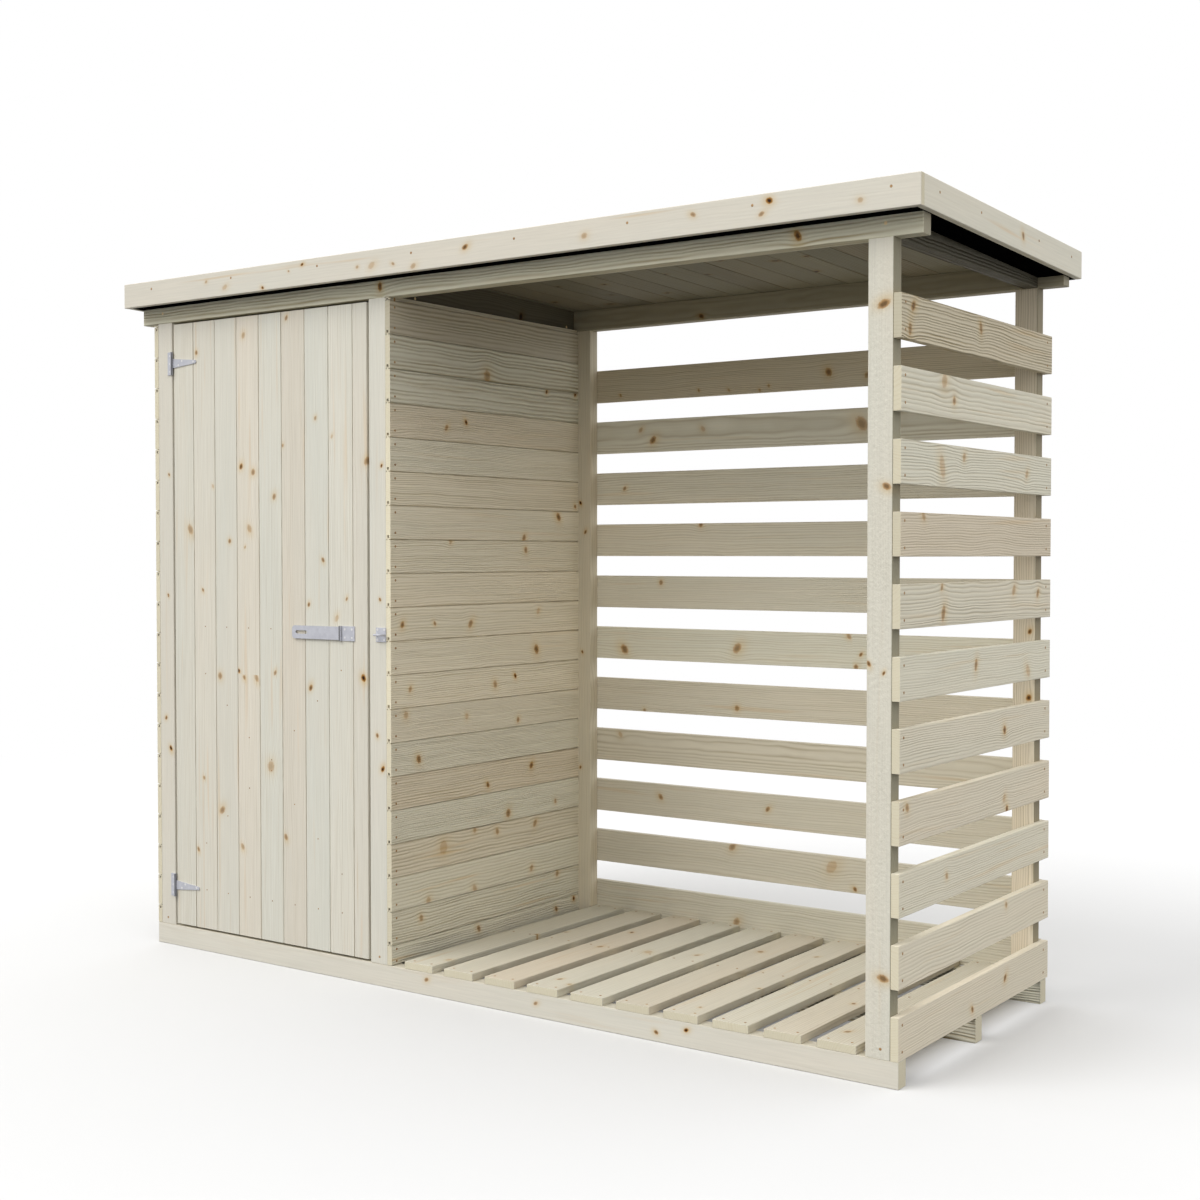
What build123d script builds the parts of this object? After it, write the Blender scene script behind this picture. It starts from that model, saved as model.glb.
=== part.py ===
# Timber log store with a tool shed at its left end, in millimetres.
# The front faces -Y, the ground is Z = 0 and the origin is under the middle of the roof.
import os
from math import atan2, degrees, radians, tan

from build123d import *

# Overall sizes
store_length = 1800         # outer faces of the end boards
frame_depth = 662           # front faces to back faces of the posts
panel_height = 1375         # ground to the tops of the posts
shed_width = 677            # outer faces of the shed's posts

# Sawn framing timber, one section throughout
timber_width = 45
timber_thickness = 28.7

# Tongue-and-groove boards of the walls, the door and the roof deck
board_thickness = 12
board_cover = 67.6
joint_width = 2.4
joint_depth = 3
wall_top_board = 71.6       # face of the uppermost wall board
wall_top_gap = 2            # under the rafters and the header

# Slats
slat_width = 72.2
slat_thickness = 14.5
wall_slat_gap = 44.6
side_slat_overrun = 10      # past the back faces of the posts
floor_slat_gap = 30         # about, as the slats are spread over each floor
floor_slat_clearance = 1    # beside the posts
bay_floor_margin = 16       # beside the right post

# Roof
roof_pitch = 1.4            # degrees, falling to the back
back_header_height = 45
front_overhang = 41.2       # from the posts to the outside of the fascia
back_overhang = 26.8
side_overhang = 50.8        # from the end boards to the outside of the fascia
felt_thickness = 2
eaves_depth = 24.7          # battens under the edges of the deck
fascia_thickness = 12.5
fascia_height = 52.1

# Ledged and braced door
door_gap = 5                # all round, and to the shed's floor
door_first_board = 63.8     # face of the board beside the hinges
ledge_inset = 15            # from the door's edges to the ledges' ends
ledge_from_end = 84.9       # from the door's top or bottom to the middle of a ledge

# Tee hinges
hinge_plate = 2
hinge_barrel = 6.5          # diameter
hinge_pin = 3               # diameter
hinge_standoff = 0.25       # between the barrel and the timber's face
hinge_running = 0.05        # round the pin
hinge_end_play = 0.3
hinge_leaf_width = 14.5
hinge_leaf_height = 50
hinge_knuckle = 20.6        # middle barrel, on the strap
strap_length = 77
strap_tip = 7               # diameter of the rounded tip

# Hasp and staple
hasp_drop = 4               # below the middle of the middle ledge
hasp_plate_length = 38
hasp_plate_height = 30
hasp_plate_thickness = 2
hasp_barrel = 6.4           # diameter
hasp_pin = 3                # diameter
hasp_knuckle = 12           # middle barrel, on the flap
hasp_standoff = 0.4
flap_thickness = 1.6
flap_height = 27
flap_reach = 136.5          # pin to tip
flap_corner = 7
slot_distance = 110         # pin to the middle of the slot
slot_length = 33
slot_height = 7
staple_inset = 13           # middle of the staple to the door post's edge
staple_plate_width = 26
staple_plate_height = 28.5
staple_wire = 4             # diameter
staple_span = 20.6          # between the middles of its legs
staple_rise = 14            # timber's face to the middle of its bar
staple_bend = 5             # radius

overrun = 20                # past the faces that a cut goes through

# Places along X
end_left = -store_length / 2
end_right = store_length / 2
frame_left = end_left + board_thickness
frame_right = end_right - slat_thickness
shed_right = frame_left + shed_width
roof_left = end_left - side_overhang
roof_right = end_right + side_overhang
felt_left = roof_left + fascia_thickness
felt_right = roof_right - fascia_thickness
deck_left = felt_left + felt_thickness
deck_right = felt_right - felt_thickness

# Places along Y
roof_front = -(front_overhang + frame_depth + back_overhang) / 2
front_face = roof_front + front_overhang
back_face = front_face + frame_depth
felt_front = roof_front + fascia_thickness
felt_back = back_face + back_overhang
deck_front = felt_front + felt_thickness
deck_back = felt_back - felt_thickness

# Places along Z
bearer_top = timber_width
wall_top = panel_height - wall_top_gap
roof_slope = tan(radians(roof_pitch))


def span(start, size):
    return start, start + size


front_rail = span(front_face, timber_thickness)
middle_rail = span((front_face + back_face - timber_thickness) / 2, timber_thickness)
back_rail = span(back_face - timber_thickness, timber_thickness)


def roof_level(y):
    return panel_height + back_header_height + (back_face - y) * roof_slope


def block(x, y, z):
    pairs = (x, y, z)
    middle = [(low + high) / 2 for low, high in pairs]
    return Pos(*middle) * Box(*[high - low for low, high in pairs])


def swept(outline, run):
    return Solid.extrude(Face(Wire.make_polygon(outline)), Vector(*run))


def sloped(x, y, low, high):
    corners = [(y[0], low), (y[1], low), (y[1], high), (y[0], high)]
    return swept([(x[0], at, roof_level(at) + rise) for at, rise in corners], (x[1] - x[0], 0, 0))


def under_roof(x, y):
    corners = [(x[0], y[0], panel_height), (x[0], y[1], panel_height),
               (x[0], y[1], roof_level(y[1])), (x[0], y[0], roof_level(y[0]))]
    return swept(corners, (x[1] - x[0], 0, 0))


def boarded(first, last, joints):
    # Section across the boards: the inside is at 0 and a V is cut into the outside at each joint.
    section = [(first, 0), (first, board_thickness)]
    for joint in joints:
        section += [(joint - joint_width / 2, board_thickness),
                    (joint, board_thickness - joint_depth),
                    (joint + joint_width / 2, board_thickness)]
    return section + [(last, board_thickness), (last, 0)]


def joints_between(first_joint, last, step):
    joints = []
    joint = first_joint
    while (last - joint) * step > joint_width * abs(step):
        joints.append(joint)
        joint += step
    return joints


def barrel(x, y, z, diameter):
    return Pos(x, y, (z[0] + z[1]) / 2) * Cylinder(diameter / 2, z[1] - z[0])


# Frame
def bearers():
    rails = {"front_bearer": front_rail, "middle_bearer": middle_rail, "back_bearer": back_rail}
    return {name: block((end_left, end_right), y, (0, bearer_top)) for name, y in rails.items()}


def posts():
    height = (bearer_top, panel_height)
    left = span(frame_left, timber_width)
    divider = span(shed_right - timber_width, timber_width)
    bay = span(shed_right, timber_width)
    right = span(frame_right - timber_width, timber_width)
    return {
        "front_left_post": block(left, front_rail, height),
        "door_post": block(divider, front_rail, height),
        "front_right_post": block(right, front_rail, height),
        "back_left_post": block(left, back_rail, height),
        "shed_back_post": block(divider, back_rail, height),
        "bay_back_post": block(bay, back_rail, height),
        "back_right_post": block(right, back_rail, height),
    }


def roof_frame():
    between = (front_rail[1], back_rail[0])
    return {
        "front_header": under_roof((deck_left, deck_right), front_rail),
        "back_header": under_roof((deck_left, deck_right), back_rail),
        "left_rafter": under_roof(span(frame_left, timber_thickness), between),
        "middle_rafter": under_roof(span(shed_right - timber_thickness, timber_thickness), between),
        "right_rafter": under_roof(span(frame_right - timber_thickness, timber_thickness), between),
    }


# Walls and floors
def walls():
    joints = joints_between(wall_top - wall_top_board, bearer_top, -board_cover)
    section = boarded(bearer_top, wall_top, sorted(joints))
    divider_run = (0, back_rail[0] - front_face, 0)
    return {
        "left_cladding": swept([(frame_left - out, front_face, z) for z, out in section], (0, frame_depth, 0)),
        "divider_cladding": swept([(shed_right + out, front_face, z) for z, out in section], divider_run),
        "back_cladding": swept([(end_left, back_face + out, z) for z, out in section],
                               (shed_right - end_left, 0, 0)),
    }


def wall_slats():
    side, back = [], []
    pitch = slat_width + wall_slat_gap
    for index in range(int((panel_height - bearer_top) // pitch)):
        z = span(bearer_top + index * pitch, slat_width)
        side.append(block((frame_right, end_right), (front_face, back_face + side_slat_overrun), z))
        back.append(block((shed_right, frame_right), span(back_face, slat_thickness), z))
    return {"side_slats": Compound(side), "back_slats": Compound(back)}


def floor_slats(start, end, y):
    count = round((end - start + floor_slat_gap) / (slat_width + floor_slat_gap))
    pitch = (end - start - slat_width) / (count - 1)
    z = span(bearer_top, slat_thickness)
    return Compound([block(span(start + index * pitch, slat_width), y, z) for index in range(count)])


def floors():
    behind_door = front_face + board_thickness + door_gap
    left_start = frame_left + timber_width + floor_slat_clearance
    bay_start = shed_right + timber_width + floor_slat_clearance
    return {
        "shed_floor_slats": floor_slats(left_start, shed_right - timber_width - floor_slat_clearance,
                                        (behind_door, back_face)),
        "bay_floor_slats": floor_slats(bay_start, frame_right - timber_width - bay_floor_margin,
                                       (front_face, back_face)),
    }


# Roof
def roof_deck():
    joints = joints_between(deck_left + board_cover, deck_right, board_cover)
    level = roof_level(deck_front)
    section = boarded(deck_left, deck_right, joints)
    depth = deck_back - deck_front
    underside = [(x, deck_front, level + board_thickness - out) for x, out in section]
    return swept(underside, (0, depth, -depth * roof_slope))


def eaves_battens():
    sides = (front_rail[1], back_rail[0])
    places = [((deck_left, deck_right), (deck_front, front_face)),
              ((deck_left, deck_right), (back_face, deck_back)),
              ((deck_left, frame_left), sides),
              ((frame_right, deck_right), sides)]
    return Compound([sloped(x, y, -eaves_depth, 0) for x, y in places])


def roof_felt():
    # Folded over the edges of the deck and turned under the battens as far as the frame.
    wrap = sloped((felt_left, felt_right), (felt_front, felt_back),
                  -eaves_depth - felt_thickness, board_thickness + felt_thickness)
    inside = sloped((deck_left, deck_right), (deck_front, deck_back), -eaves_depth, board_thickness)
    through = (-eaves_depth - overrun, 0)
    frame = sloped((frame_left, frame_right), (front_face, back_face), *through)
    front = sloped((deck_left, deck_right), front_rail, *through)
    back = sloped((deck_left, deck_right), back_rail, *through)
    return wrap - inside - frame - front - back


def fascias():
    low = -eaves_depth - felt_thickness
    front_bottom = roof_level(felt_front) + low
    sides = (felt_front, felt_back)
    return {
        "front_fascia": block((roof_left, roof_right), (roof_front, felt_front),
                              span(front_bottom, fascia_height)),
        "left_fascia": sloped((roof_left, felt_left), sides, low, low + fascia_height),
        "right_fascia": sloped((felt_right, roof_right), sides, low, low + fascia_height),
    }


# Door
door_left = frame_left + timber_width + door_gap
door_right = shed_right - timber_width - door_gap
door_bottom = bearer_top + door_gap
door_top = panel_height - door_gap
ledge_x = (door_left + ledge_inset, door_right - ledge_inset)
ledge_y = span(front_face + board_thickness, timber_thickness)
ledge_heights = (door_bottom + ledge_from_end, (door_bottom + door_top) / 2, door_top - ledge_from_end)


def door_boards():
    joints = joints_between(door_left + door_first_board, door_right, board_cover)
    section = boarded(door_left, door_right, joints)
    outline = [(x, front_face + board_thickness - out, door_bottom) for x, out in section]
    return swept(outline, (0, 0, door_top - door_bottom))


def ledges():
    names = ("bottom_ledge", "middle_ledge", "top_ledge")
    return {name: block(ledge_x, ledge_y, span(height - timber_width / 2, timber_width))
            for name, height in zip(names, ledge_heights)}


def braces():
    low = ledge_heights[0] + timber_width / 2
    high = ledge_heights[1] - timber_width / 2
    width = ledge_x[1] - ledge_x[0]
    angle = degrees(atan2(high - low, width))
    bar = Box(width + high - low, timber_thickness, timber_width)
    middle = Pos((ledge_x[0] + ledge_x[1]) / 2, (ledge_y[0] + ledge_y[1]) / 2, (low + high) / 2)
    panel = block(ledge_x, ledge_y, (low, high))
    falling = middle * Rot(0, angle, 0) * bar
    rising = middle * Rot(0, -angle, 0) * bar
    return {"long_brace": panel & falling, "split_brace": (panel & rising) - falling}


# Tee hinges
hinge_x = door_left - door_gap / 2
hinge_y = front_face - hinge_standoff - hinge_barrel / 2
hinge_face = (front_face - hinge_plate, front_face)


def hinge_leaf(height):
    z = span(height - hinge_leaf_height / 2, hinge_leaf_height)
    knuckle = span(height - hinge_knuckle / 2, hinge_knuckle)
    room = (knuckle[0] - hinge_end_play, knuckle[1] + hinge_end_play)
    leaf = block((hinge_x - hinge_leaf_width, hinge_x), hinge_face, z) + barrel(hinge_x, hinge_y, z, hinge_barrel)
    reach = hinge_barrel / 2 + hinge_end_play
    notch = block((hinge_x - reach, hinge_x + reach), (hinge_y - overrun, front_face + overrun), room)
    return leaf - notch + barrel(hinge_x, hinge_y, z, hinge_pin)


def hinge_strap(height):
    knuckle = span(height - hinge_knuckle / 2, hinge_knuckle)
    tip_x = hinge_x + strap_length - strap_tip / 2
    back = hinge_face[0]
    outline = [(hinge_x, back, knuckle[0]), (tip_x, back, height - strap_tip / 2),
               (tip_x, back, height + strap_tip / 2), (hinge_x, back, knuckle[1])]
    plate = swept(outline, (0, hinge_plate, 0))
    tip = Pos(tip_x, back + hinge_plate / 2, height) * Rot(90, 0, 0) * Cylinder(strap_tip / 2, hinge_plate)
    bore = barrel(hinge_x, hinge_y, knuckle, hinge_pin + hinge_running + hinge_running)
    return plate + tip + barrel(hinge_x, hinge_y, knuckle, hinge_barrel) - bore


# Hasp and staple
staple_x = shed_right - staple_inset
hasp_x = staple_x - slot_distance
hasp_y = front_face - hasp_standoff - hasp_barrel / 2
hasp_height = ledge_heights[1] - hasp_drop
hasp_ends = span(hasp_height - hasp_plate_height / 2, hasp_plate_height)
hasp_middle = span(hasp_height - hasp_knuckle / 2, hasp_knuckle)
hasp_room = hasp_barrel / 2 + hasp_standoff


def hasp_plate():
    face = (front_face - hasp_plate_thickness, front_face)
    plate = block(span(hasp_x, hasp_plate_length), face, hasp_ends)
    plate += barrel(hasp_x, hasp_y, hasp_ends, hasp_barrel)
    room = (hasp_middle[0] - hinge_end_play, hasp_middle[1] + hinge_end_play)
    notch = block((hasp_x - hasp_room, hasp_x + hasp_room), (hasp_y - overrun, front_face + overrun), room)
    return plate - notch + barrel(hasp_x, hasp_y, hasp_ends, hasp_pin)


def hasp_flap():
    # Folded back flat against the door, as it hangs when the store is unlocked.
    facing = Plane((hasp_x, hasp_y, hasp_height), x_dir=(-1, 0, 0), z_dir=(0, 1, 0))
    body_length = flap_reach - hasp_room
    face = Pos(hasp_room + body_length / 2, 0) * RectangleRounded(body_length, flap_height, flap_corner)
    face += Pos(hasp_room + flap_corner / 2, 0) * Rectangle(flap_corner, flap_height)
    face += Pos(hasp_room / 2, 0) * Rectangle(hasp_room, hasp_knuckle)
    face -= Pos(slot_distance, 0) * SlotOverall(slot_length, slot_height)
    flap = extrude(facing * face, flap_thickness / 2, both=True)
    bore = barrel(hasp_x, hasp_y, hasp_middle, hasp_pin + hinge_running + hinge_running)
    return flap + barrel(hasp_x, hasp_y, hasp_middle, hasp_barrel) - bore


def hasp_staple():
    face = (front_face - hasp_plate_thickness, front_face)
    x = span(staple_x - staple_plate_width / 2, staple_plate_width)
    z = span(hasp_height - staple_plate_height / 2, staple_plate_height)
    foot = front_face - hasp_plate_thickness / 2
    legs = (staple_x - staple_span / 2, staple_x + staple_span / 2)
    bar = front_face - staple_rise
    path = FilletPolyline((legs[0], foot, hasp_height), (legs[0], bar, hasp_height),
                          (legs[1], bar, hasp_height), (legs[1], foot, hasp_height), radius=staple_bend)
    section = Plane((legs[0], foot, hasp_height), z_dir=(0, -1, 0)) * Circle(staple_wire / 2)
    return block(x, face, z) + sweep(section, path=path)


def parts():
    nodes = {}
    for group in (bearers(), posts(), roof_frame(), walls(), wall_slats(), floors(), fascias(), ledges(), braces()):
        nodes.update(group)
    nodes["roof_deck"] = roof_deck()
    nodes["eaves_battens"] = eaves_battens()
    nodes["roof_felt"] = roof_felt()
    nodes["door_boards"] = door_boards()
    for name, height in (("lower_hinge", ledge_heights[0]), ("upper_hinge", ledge_heights[2])):
        nodes[name + "_leaf"] = hinge_leaf(height)
        nodes[name + "_strap"] = hinge_strap(height)
    nodes["hasp_plate"] = hasp_plate()
    nodes["hasp_flap"] = hasp_flap()
    nodes["hasp_staple"] = hasp_staple()
    return nodes


os.makedirs("parts", exist_ok=True)
for node, shape in parts().items():
    export_step(shape, os.path.join("parts", node + ".step"))
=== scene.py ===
import math
import random

import bpy
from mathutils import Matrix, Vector


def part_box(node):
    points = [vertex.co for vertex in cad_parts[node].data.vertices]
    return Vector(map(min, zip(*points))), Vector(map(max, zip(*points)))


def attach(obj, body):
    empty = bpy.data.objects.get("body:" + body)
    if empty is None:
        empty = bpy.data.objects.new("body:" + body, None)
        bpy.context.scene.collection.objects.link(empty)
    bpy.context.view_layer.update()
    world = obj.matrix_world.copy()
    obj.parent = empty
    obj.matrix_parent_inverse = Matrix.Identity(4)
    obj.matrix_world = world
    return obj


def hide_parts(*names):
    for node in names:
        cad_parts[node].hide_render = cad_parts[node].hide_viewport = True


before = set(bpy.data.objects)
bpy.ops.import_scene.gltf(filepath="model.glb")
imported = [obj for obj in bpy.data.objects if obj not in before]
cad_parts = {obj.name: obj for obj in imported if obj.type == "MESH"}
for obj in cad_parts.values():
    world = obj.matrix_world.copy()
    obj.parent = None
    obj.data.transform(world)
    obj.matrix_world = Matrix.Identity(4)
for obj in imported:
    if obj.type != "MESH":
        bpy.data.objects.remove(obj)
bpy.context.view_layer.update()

mm = 0.001
axisNames = "xyz"
print("frame loaded:", len(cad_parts), "nodes")


class Wire:  # one socket, so that shader sums read as sums
    def __init__(self, finish, socket):
        self.finish = finish
        self.socket = socket

    def sum(self, operation, first, second):
        return self.finish.add("ShaderNodeMath", {"operation": operation}, {0: first, 1: second})

    def __add__(self, other):
        return self.sum("ADD", self, other)

    def __radd__(self, other):
        return self.sum("ADD", other, self)

    def __sub__(self, other):
        return self.sum("SUBTRACT", self, other)

    def __rsub__(self, other):
        return self.sum("SUBTRACT", other, self)

    def __mul__(self, other):
        return self.sum("MULTIPLY", self, other)

    def __rmul__(self, other):
        return self.sum("MULTIPLY", other, self)

    def __truediv__(self, other):
        return self.sum("DIVIDE", self, other)

    def __rtruediv__(self, other):
        return self.sum("DIVIDE", other, self)

    def __pow__(self, other):
        return self.sum("POWER", self, other)

    def __rpow__(self, other):
        return self.sum("POWER", other, self)

    def __mod__(self, other):
        return self.sum("FLOORED_MODULO", self, other)

    def __rmod__(self, other):
        return self.sum("FLOORED_MODULO", other, self)


class Finish:  # a node tree that is written as expressions
    def __init__(self, owner):
        owner.use_nodes = True
        self.owner = owner
        self.tree = owner.node_tree
        self.tree.nodes.clear()

    def add(self, kind, settings=None, values=None, output=0):  # any node: settings first, then sockets
        node = self.tree.nodes.new(kind)
        for name, setting in (settings or {}).items():
            if name == "stops":
                self.setStops(node.color_ramp.elements, setting)
            else:
                setattr(node, name, setting)
        for name, value in (values or {}).items():
            if isinstance(value, Wire):
                self.tree.links.new(value.socket, node.inputs[name])
            else:
                node.inputs[name].default_value = value
        return Wire(self, node.outputs[output]) if node.outputs else node

    def setStops(self, elements, stops):
        for _ in stops[2:]:
            elements.new(0.5)
        for element, (place, shade) in zip(elements, stops):
            element.position = place
            element.color = (shade, shade, shade, 1)

    def split(self, vector):
        parts = self.add("ShaderNodeSeparateXYZ", {}, {0: vector})
        return [Wire(self, socket) for socket in parts.socket.node.outputs]

    def join(self, x, y, z):
        return self.add("ShaderNodeCombineXYZ", {}, {0: x, 1: y, 2: z})

    def attribute(self, name):
        return self.split(self.add("ShaderNodeAttribute", {"attribute_name": name}, {}, "Vector"))

    def noise(self, x, y, z, detail=1.0):  # about -0.5 to 0.5
        place = self.join(x, y, z)
        return self.add("ShaderNodeTexNoise", {}, {"Vector": place, "Scale": 1.0, "Detail": detail}) - 0.5

    def ramp(self, value, stops):
        return self.add("ShaderNodeValToRGB", {"stops": stops}, {0: value})

    def smooth(self, value, low, high):  # 0 below low, 1 above high
        values = {"Value": value, "From Min": low, "From Max": high}
        return self.add("ShaderNodeMapRange", {"interpolation_type": "SMOOTHSTEP"}, values)

    def blend(self, factor, under, over, way="MIX"):  # colours
        settings = {"data_type": "RGBA", "blend_type": way}
        return self.add("ShaderNodeMix", settings, {0: factor, 6: under, 7: over}, 2)

    def shade(self, colour, level):  # a colour times a number
        return self.add("ShaderNodeVectorMath", {"operation": "SCALE"}, {0: colour, "Scale": level})

    def bump(self, height, distance):
        return self.add("ShaderNodeBump", {}, {"Height": height, "Distance": distance, "Strength": 1.0})

    def objectPlace(self):
        return self.split(self.add("ShaderNodeTexCoord", {}, {}, "Object"))

    def speckle(self, place, scale, detail):  # noise at one scale in all directions
        return self.noise(*[axis * scale for axis in place], detail)

    def surface(self, shader):
        isWorld = isinstance(self.owner, bpy.types.World)
        kind = "ShaderNodeOutputWorld" if isWorld else "ShaderNodeOutputMaterial"
        self.add(kind, {}, {"Surface": shader})
        return self.owner

    def coat(self, values):  # the usual surface
        return self.surface(self.add("ShaderNodeBsdfPrincipled", {}, values))


def newFinish(name):
    return Finish(bpy.data.materials.new(name))


def paint(red, green, blue):  # a screen colour as the linear colour that nodes take
    parts = [part / 255 for part in (red, green, blue)]
    return (*[p / 12.92 if p <= 0.04045 else ((p + 0.055) / 1.055) ** 2.4 for p in parts], 1.0)


# Timber finish: growth rings round a pith, fibre, knots and the tone of each board

woodLook = {
    "green": paint(221, 220, 208),     # the cooler boards
    "pink": paint(223, 212, 195),      # the warmer boards
    "late": paint(172, 156, 124),      # late wood in a growth ring
    "resin": paint(212, 182, 138),
    "tanKnot": paint(172, 119, 40),
    "darkKnot": paint(46, 22, 5),
    "knotGlow": paint(206, 171, 100),  # wood stained round a knot
    "end": paint(224, 216, 191),
    "endLate": paint(212, 199, 166),
    "endPore": paint(186, 170, 138),
    "shaded": (1, 0.955, 0.76, 1),     # painted shade: the warmer tint a fully warm board is multiplied by, as wood looks in shade
    "wander": 15 * mm,                 # how far the rings stray along a board
    "wanderDepth": 0.5,                # the share of it through the thickness
    "ripple": 3.4 * mm,
    "knotBend": 0.45,                  # how far rings bend aside for a knot, and swell over it
    "knotSwell": 0.35,
    "ringDrift": (0.45, 1.5),          # near and far rings: scale and amount
    "bandScale": (7.3, 6),             # rings come and go: from ring to ring and along the board
    "bandLevels": (2.2, 0.85),
    "driftTint": 0.4,
    "cloudTint": 0.4,
    "earlyLight": 0.14,
    "fibreLight": 0.17,
    "cloudLight": 0.09,
    "glow": 0.6,
    "earlyRise": 0.35,
    "lateDip": 0.6,
    "fibreRise": 0.14,
    "knotDip": 0.1,
    "pocketEdge": (0.13, 0.3),         # resin pockets: noise levels from none to full
    "bump": 1 * mm,
    "roughness": 0.62,
    "knotPolish": -0.12,               # roughness added on a knot, and along the fibre
    "fibreRough": 0.1,
    "gloss": 0.14,
    "endLateShare": 0.35,
    "poreScale": 1500,
    "poreEdge": (0.1, 0.35),
    "poreShare": 0.35,
    "poreLight": 0.12,
    "endRise": (0.3, 0.1),             # height of pores and of late wood on end grain
    "endRoughness": 0.85,
    "lateStops": [(0.0, 0.45), (0.14, 0.12), (0.4, 0.0), (0.66, 0.4), (0.82, 1.0), (1.0, 0.45)],
    "earlyStops": [(0.0, 0.25), (0.24, 1.0), (0.48, 0.5), (0.72, 0.0), (0.9, 0.0), (1.0, 0.25)],
}
grainScale = {  # noise along and across the grain, in waves per metre
    "wander": (4.5, 7), "ripple": (15, 34), "fibre": (10, 330), "pocket": (3.2, 70), "mottle": (150, 210),
    "cloud": (2.1, 16), "drift": (2.6, 3),
}
knotLook = {  # distances in knot radii
    "frayScale": 210,
    "fraySlice": 3.0,
    "fray": 0.5,
    "slantShare": 0.7,         # under 1 draws a knot out along the grain
    "bendReach": (12, 6),      # squared reach along and across
    "glowReach": (3.6, 2.4),
    "coreEdge": (0.65, 1.05),
    "darkEdge": (0.25, 0.8),
    "coreLevels": (0.62, 0.33),  # what darkness adds, and the least
    "glowLevels": (0.5, 0.5),
    "darkCurve": 0.8,
}
softFade = 0.368  # about 1 / e


def softOval(along, across, reach):  # 1 in the middle, fading outwards
    return softFade ** (along * along / reach[0] + across * across / reach[1])


def knotFields(f, u, v):  # three knots at most on any stretch of a board
    look = knotLook
    darkness, stretch, leans = [f.attribute(name) for name in ("knotDark", "knotTall", "knotLean")]
    (coreAdds, coreLeast), (glowAdds, glowLeast) = look["coreLevels"], look["glowLevels"]
    fray = f.noise(u * look["frayScale"], v * look["frayScale"], look["fraySlice"], 2.0)
    shift, rise, core, dark, glow = 0, 0, 0, 0, 0
    for letter, darkest, tall, lean in zip("ABC", darkness, stretch, leans):
        knotU, knotV, size = f.attribute("knot" + letter)
        across = (v - knotV) / (size * tall)
        along = (u - knotU) / size
        slant = along + across * lean
        reach = (slant * slant * look["slantShare"] + across * across) ** 0.5 + fray * look["fray"]
        field = softOval(along, across, look["bendReach"])  # where rings bend round the knot
        shift = shift + across * size * field
        rise = rise + size * field
        core = core + (1 - f.smooth(reach, *look["coreEdge"])) * (darkest * coreAdds + coreLeast)
        dark = dark + (1 - f.smooth(reach, *look["darkEdge"])) * darkest ** look["darkCurve"]
        glow = glow + softOval(slant + lean, across, look["glowReach"]) * (darkest * glowAdds + glowLeast)
    return shift, rise, core, dark, glow


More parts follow.
